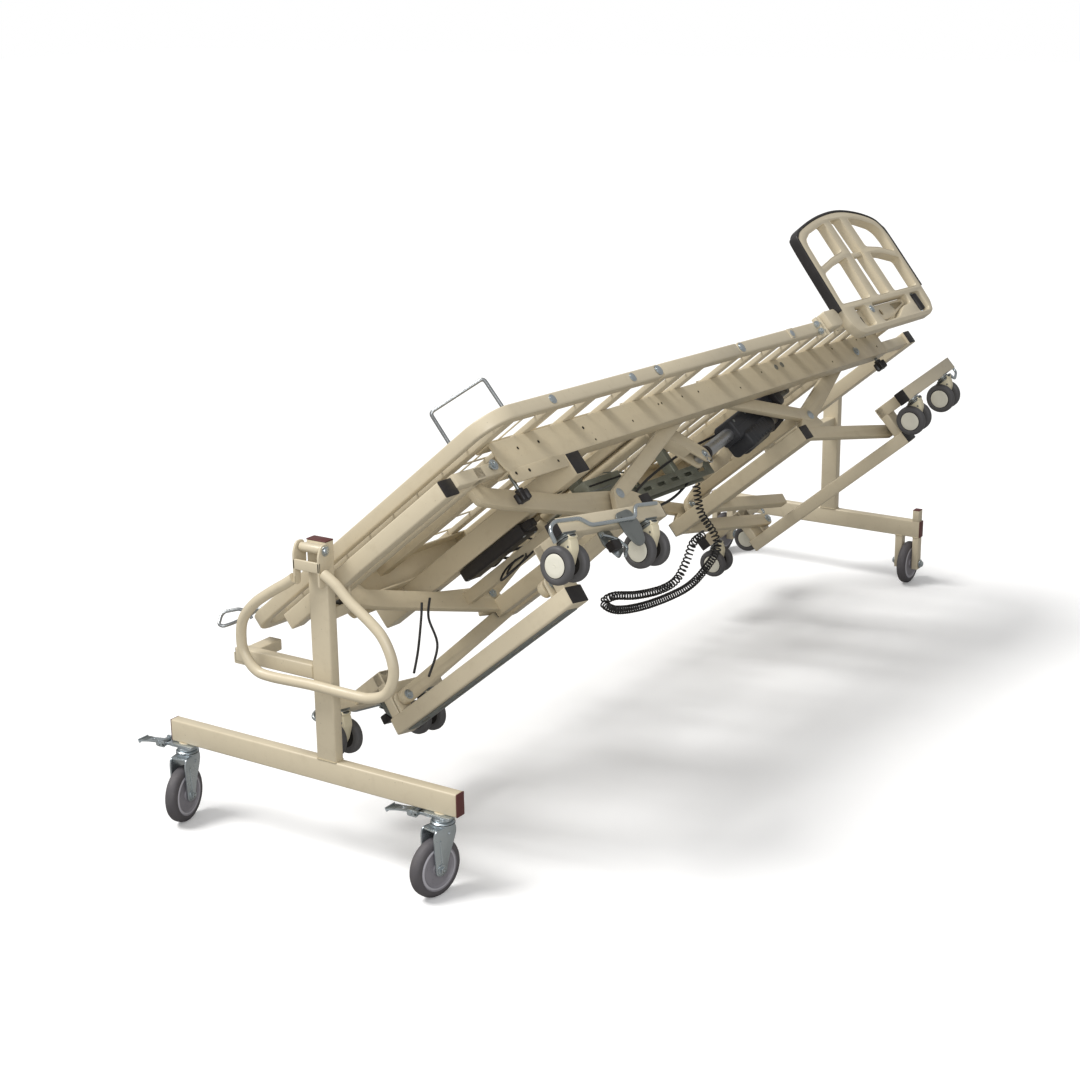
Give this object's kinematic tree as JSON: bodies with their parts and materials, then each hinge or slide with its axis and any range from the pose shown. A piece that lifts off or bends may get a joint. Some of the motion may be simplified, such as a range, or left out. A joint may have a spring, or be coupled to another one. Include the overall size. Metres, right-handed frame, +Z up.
{
  "type": "stretcher trolley",
  "caption": "Profiling care bed turned on its side and carried on a two-part wheeled transport trolley with a loop handle, folded lift scissors, casters and a side guard.",
  "frame": {"origin": "on the floor under the middle of the object's bounding box", "axes": "+Z up, +Y along the trolley from the front T stand (swivel casters, loop handle) to the rear T stand, +X across, towards the bed's raised side"},
  "size_m": [1.1084, 2.5046, 1.1585],
  "materials": {
    "beige": "satin powder coat",
    "maroon": "matt moulded",
    "black": "matt moulded",
    "steel": "satin, worn",
    "silver": "satin",
    "wire": "bright zinc",
    "zinc": "bright zinc plated",
    "tread": "matt rubber",
    "cream": "moulded",
    "rim": "matt rubber"
  },
  "bodies": {
    "frame": {"front_stand": "beige", "front_bar_cap_left": "maroon", "front_bar_cap_right": "maroon", "front_post_cap": "maroon", "front_left_caster_mount": "zinc", "front_right_caster_mount": "zinc", "rear_stand": "beige", "rear_bar_cap_right": "maroon", "seat_section": "beige", "sub_frame": "beige", "foot_end_frame": "beige", "foot_end_tube_cap": "black", "head_end_frame": "beige", "control_box": "black", "centre_rail": "steel", "coiled_cable": "black"},
    "leg": {"leg_section": "beige"},
    "back": {"back_section": "beige", "guard_panel": "beige", "guard_trim": "black"},
    "lever": {"leg_lift_lever": "beige"},
    "motor": {"leg_drive_motor": "black"},
    "rod": {"leg_drive_rod": "silver"},
    "foot_links": {"foot_lift_links": "beige"},
    "foot_arms": {"foot_lift_arms": "beige"},
    "foot_base": {"foot_base": "beige"},
    "foot_near_caster_a": {"foot_near_caster_a": "cream"},
    "foot_near_caster_a_wheels": {"foot_near_caster_a_wheels": "rim"},
    "foot_near_caster_b": {"foot_near_caster_b": "cream"},
    "foot_near_caster_b_wheels": {"foot_near_caster_b_wheels": "rim"},
    "foot_far_caster_a": {"foot_far_caster_a": "cream"},
    "foot_far_caster_a_wheels": {"foot_far_caster_a_wheels": "rim"},
    "foot_far_caster_b": {"foot_far_caster_b": "cream"},
    "foot_far_caster_b_wheels": {"foot_far_caster_b_wheels": "rim"},
    "head_links": {"head_lift_links": "beige"},
    "head_arms": {"head_lift_arms": "beige"},
    "head_base": {"head_base": "beige"},
    "head_near_caster_a": {"head_near_caster_a": "cream"},
    "head_near_caster_a_wheels": {"head_near_caster_a_wheels": "rim"},
    "head_near_caster_b": {"head_near_caster_b": "cream"},
    "head_near_caster_b_wheels": {"head_near_caster_b_wheels": "rim"},
    "head_far_caster_a": {"head_far_caster_a": "cream"},
    "head_far_caster_a_wheels": {"head_far_caster_a_wheels": "rim"},
    "head_far_caster_b": {"head_far_caster_b": "cream"},
    "head_far_caster_b_wheels": {"head_far_caster_b_wheels": "rim"},
    "handle": {"loop_handle": "beige"},
    "front_left_pedal": {"front_left_brake_pedal": "zinc"},
    "front_left_fork": {"front_left_caster_fork": "zinc"},
    "front_left_wheel": {"front_left_caster_wheel": "tread"},
    "front_right_pedal": {"front_right_brake_pedal": "zinc"},
    "front_right_fork": {"front_right_caster_fork": "zinc"},
    "front_right_wheel": {"front_right_caster_wheel": "tread"},
    "rear_right_wheel": {"rear_right_wheel": "tread"},
    "rear_left_wheel": {"rear_left_wheel": "tread"},
    "foot_knob": {"foot_lock_knob": "black"},
    "head_knob": {"head_lock_knob": "black"},
    "foot_retainer": {"foot_retainer": "wire"},
    "side_retainer": {"side_retainer": "wire"},
    "guard_roller": {"guard_roller": "black"}
  },
  "joints": [
    {"name": "leg_section_hinge", "type": "hinge", "parent": "frame", "child": "leg", "pos_m": [0.04468, -0.48437, 0.68492], "axis": [-0.7663, -0.0091, -0.6424], "range_deg": [0, 30]},
    {"name": "back_section_hinge", "type": "hinge", "parent": "frame", "child": "back", "pos_m": [0.05113, -0.11465, 0.672], "axis": [0.7663, 0.0091, 0.6424], "range_deg": [0, 70]},
    {"name": "leg_lever_turn", "type": "hinge", "parent": "frame", "child": "lever", "pos_m": [0.07785, -0.24127, 0.64192], "axis": [-0.7663, -0.0091, -0.6424], "range_deg": [0, 30]},
    {"name": "leg_motor_tilt", "type": "hinge", "parent": "frame", "child": "motor", "pos_m": [0.23004, 0.39964, 0.72998], "axis": [0.7663, 0.0091, 0.6424], "range_deg": [-0.5, 3.5]},
    {"name": "leg_rod_slide", "type": "slide", "parent": "motor", "child": "rod", "axis": [0.0946, -0.9906, -0.0988], "range_m": [-0.002, 0.08]},
    {"name": "foot_lift", "type": "hinge", "parent": "frame", "child": "foot_links", "pos_m": [0.06614, -0.98577, 0.66639], "axis": [-0.7663, -0.0091, -0.6424], "range_deg": [0, 13]},
    {"name": "foot_scissor_pivot", "type": "hinge", "parent": "foot_links", "child": "foot_arms", "pos_m": [0.15626, -0.59676, 0.55339], "axis": [-0.7663, -0.0091, -0.6424], "range_deg": [-27, 0.5]},
    {"name": "foot_base_pivot", "type": "hinge", "parent": "foot_arms", "child": "foot_base", "pos_m": [0.23263, -0.99561, 0.46792], "axis": [-0.7663, -0.0091, -0.6424], "range_deg": [-0.5, 13.5]},
    {"name": "head_lift", "type": "hinge", "parent": "frame", "child": "head_links", "pos_m": [0.09244, 0.66812, 0.61169], "axis": [0.7663, 0.0091, 0.6424], "range_deg": [0, 13]},
    {"name": "head_scissor_pivot", "type": "hinge", "parent": "head_links", "child": "head_arms", "pos_m": [0.15797, 0.33224, 0.53825], "axis": [0.7663, 0.0091, 0.6424], "range_deg": [-27, 0.5]},
    {"name": "head_base_pivot", "type": "hinge", "parent": "head_arms", "child": "head_base", "pos_m": [0.23508, 0.65969, 0.44164], "axis": [0.7663, 0.0091, 0.6424], "range_deg": [-0.5, 13.5]},
    {"name": "handle_swing", "type": "hinge", "parent": "frame", "child": "handle", "pos_m": [-0.01617, -1.19123, 0.684], "axis": [-1, 0, 0], "range_deg": [0, 95]},
    {"name": "front_left_brake", "type": "hinge", "parent": "frame", "child": "front_left_pedal", "pos_m": [-0.48817, -1.16523, 0.1617], "axis": [0, 1, 0], "range_deg": [-12, 12]},
    {"name": "front_left_swivel", "type": "hinge", "parent": "frame", "child": "front_left_fork", "pos_m": [-0.42017, -1.16523, 0.1], "axis": [0, 0, 1], "continuous": true},
    {"name": "front_left_wheel_spin", "type": "hinge", "parent": "front_left_fork", "child": "front_left_wheel", "pos_m": [-0.41476, -1.19066, 0.0625], "axis": [0.9781, 0.2079, 0], "continuous": true},
    {"name": "front_right_brake", "type": "hinge", "parent": "frame", "child": "front_right_pedal", "pos_m": [0.19983, -1.16523, 0.1617], "axis": [0, 1, 0], "range_deg": [-12, 12]},
    {"name": "front_right_swivel", "type": "hinge", "parent": "frame", "child": "front_right_fork", "pos_m": [0.26783, -1.16523, 0.1], "axis": [0, 0, 1], "continuous": true},
    {"name": "front_right_wheel_spin", "type": "hinge", "parent": "front_right_fork", "child": "front_right_wheel", "pos_m": [0.26332, -1.19084, 0.0625], "axis": [0.9848, -0.1736, 0], "continuous": true},
    {"name": "rear_right_wheel_spin", "type": "hinge", "parent": "frame", "child": "rear_right_wheel", "pos_m": [0.26833, 1.19077, 0.0625], "axis": [1, 0, 0], "continuous": true},
    {"name": "rear_left_wheel_spin", "type": "hinge", "parent": "frame", "child": "rear_left_wheel", "pos_m": [-0.35167, 1.19077, 0.0625], "axis": [1, 0, 0], "continuous": true},
    {"name": "foot_knob_turn", "type": "hinge", "parent": "frame", "child": "foot_knob", "pos_m": [0.29794, -0.93027, 0.79538], "axis": [0.6422, -0.0379, -0.7656], "continuous": true},
    {"name": "head_knob_turn", "type": "hinge", "parent": "frame", "child": "head_knob", "pos_m": [0.32151, 0.7888, 0.74301], "axis": [0.6422, -0.0379, -0.7656], "continuous": true},
    {"name": "foot_retainer_lift", "type": "slide", "parent": "leg", "child": "foot_retainer", "axis": [-0.6422, 0.0379, 0.7656], "range_m": [0, 0.05]},
    {"name": "side_retainer_lift", "type": "slide", "parent": "leg", "child": "side_retainer", "axis": [-0.6422, 0.0379, 0.7656], "range_m": [0, 0.05]},
    {"name": "guard_roller_spin", "type": "hinge", "parent": "back", "child": "guard_roller", "pos_m": [0.41551, 0.80708, 0.91239], "axis": [0.6422, -0.0379, -0.7656], "continuous": true},
    {"name": "foot_near_caster_a_swivel", "type": "hinge", "parent": "foot_base", "child": "foot_near_caster_a", "pos_m": [0.48305, -1.04057, 0.74579], "axis": [0.6353, -0.1594, -0.7556], "continuous": true},
    {"name": "foot_near_caster_b_swivel", "type": "hinge", "parent": "foot_base", "child": "foot_near_caster_b", "pos_m": [0.50867, -0.77601, 0.7115], "axis": [0.6353, -0.1594, -0.7556], "continuous": true},
    {"name": "foot_far_caster_a_swivel", "type": "hinge", "parent": "foot_base", "child": "foot_far_caster_a", "pos_m": [-0.08402, -1.04728, 0.27042], "axis": [0.6353, -0.1594, -0.7556], "continuous": true},
    {"name": "foot_far_caster_b_swivel", "type": "hinge", "parent": "foot_base", "child": "foot_far_caster_b", "pos_m": [-0.05841, -0.78272, 0.23613], "axis": [0.6353, -0.1594, -0.7556], "continuous": true},
    {"name": "head_near_caster_a_swivel", "type": "hinge", "parent": "head_base", "child": "head_near_caster_a", "pos_m": [0.50179, 0.60073, 0.70028], "axis": [0.6399, 0.0789, -0.7644], "continuous": true},
    {"name": "head_near_caster_b_swivel", "type": "hinge", "parent": "head_base", "child": "head_near_caster_b", "pos_m": [0.48843, 0.832, 0.71296], "axis": [0.6399, 0.0789, -0.7644], "continuous": true},
    {"name": "head_far_caster_a_swivel", "type": "hinge", "parent": "head_base", "child": "head_far_caster_a", "pos_m": [-0.06528, 0.59403, 0.22491], "axis": [0.6399, 0.0789, -0.7644], "continuous": true},
    {"name": "head_far_caster_b_swivel", "type": "hinge", "parent": "head_base", "child": "head_far_caster_b", "pos_m": [-0.07865, 0.82529, 0.23759], "axis": [0.6399, 0.0789, -0.7644], "continuous": true},
    {"name": "foot_near_caster_a_spin", "type": "hinge", "parent": "foot_near_caster_a", "child": "foot_near_caster_a_wheels", "pos_m": [0.48802, -1.04786, 0.69327], "axis": [0.0956, 0.9872, -0.1279], "continuous": true},
    {"name": "foot_near_caster_b_spin", "type": "hinge", "parent": "foot_near_caster_b", "child": "foot_near_caster_b_wheels", "pos_m": [0.51363, -0.7833, 0.65898], "axis": [0.0956, 0.9872, -0.1279], "continuous": true},
    {"name": "foot_far_caster_a_spin", "type": "hinge", "parent": "foot_far_caster_a", "child": "foot_far_caster_a_wheels", "pos_m": [-0.07906, -1.05456, 0.2179], "axis": [0.0956, 0.9872, -0.1279], "continuous": true},
    {"name": "foot_far_caster_b_spin", "type": "hinge", "parent": "foot_far_caster_b", "child": "foot_far_caster_b_wheels", "pos_m": [-0.05344, -0.79, 0.18361], "axis": [0.0956, 0.9872, -0.1279], "continuous": true},
    {"name": "head_near_caster_a_spin", "type": "hinge", "parent": "head_near_caster_a", "child": "head_near_caster_a_wheels", "pos_m": [0.50696, 0.60393, 0.64738], "axis": [-0.0576, 0.9968, 0.0547], "continuous": true},
    {"name": "head_near_caster_b_spin", "type": "hinge", "parent": "head_near_caster_b", "child": "head_near_caster_b_wheels", "pos_m": [0.4936, 0.8352, 0.66006], "axis": [-0.0576, 0.9968, 0.0547], "continuous": true},
    {"name": "head_far_caster_a_spin", "type": "hinge", "parent": "head_far_caster_a", "child": "head_far_caster_a_wheels", "pos_m": [-0.06012, 0.59722, 0.172], "axis": [-0.0576, 0.9968, 0.0547], "continuous": true},
    {"name": "head_far_caster_b_spin", "type": "hinge", "parent": "head_far_caster_b", "child": "head_far_caster_b_wheels", "pos_m": [-0.07348, 0.82849, 0.18468], "axis": [-0.0576, 0.9968, 0.0547], "continuous": true}
  ],
  "couplings": [
    {"joint": "leg_lever_turn", "follows": "leg_section_hinge", "ratio": 1},
    {"joint": "leg_rod_slide", "follows": "leg_section_hinge", "m_per_rad": 0.1336},
    {"joint": "foot_scissor_pivot", "follows": "foot_lift", "ratio": -2},
    {"joint": "foot_base_pivot", "follows": "foot_lift", "ratio": 1},
    {"joint": "head_scissor_pivot", "follows": "head_lift", "ratio": -2},
    {"joint": "head_base_pivot", "follows": "head_lift", "ratio": 1},
    {"joint": "leg_motor_tilt", "follows": "leg_section_hinge", "ratio": 0.0857}
  ]
}
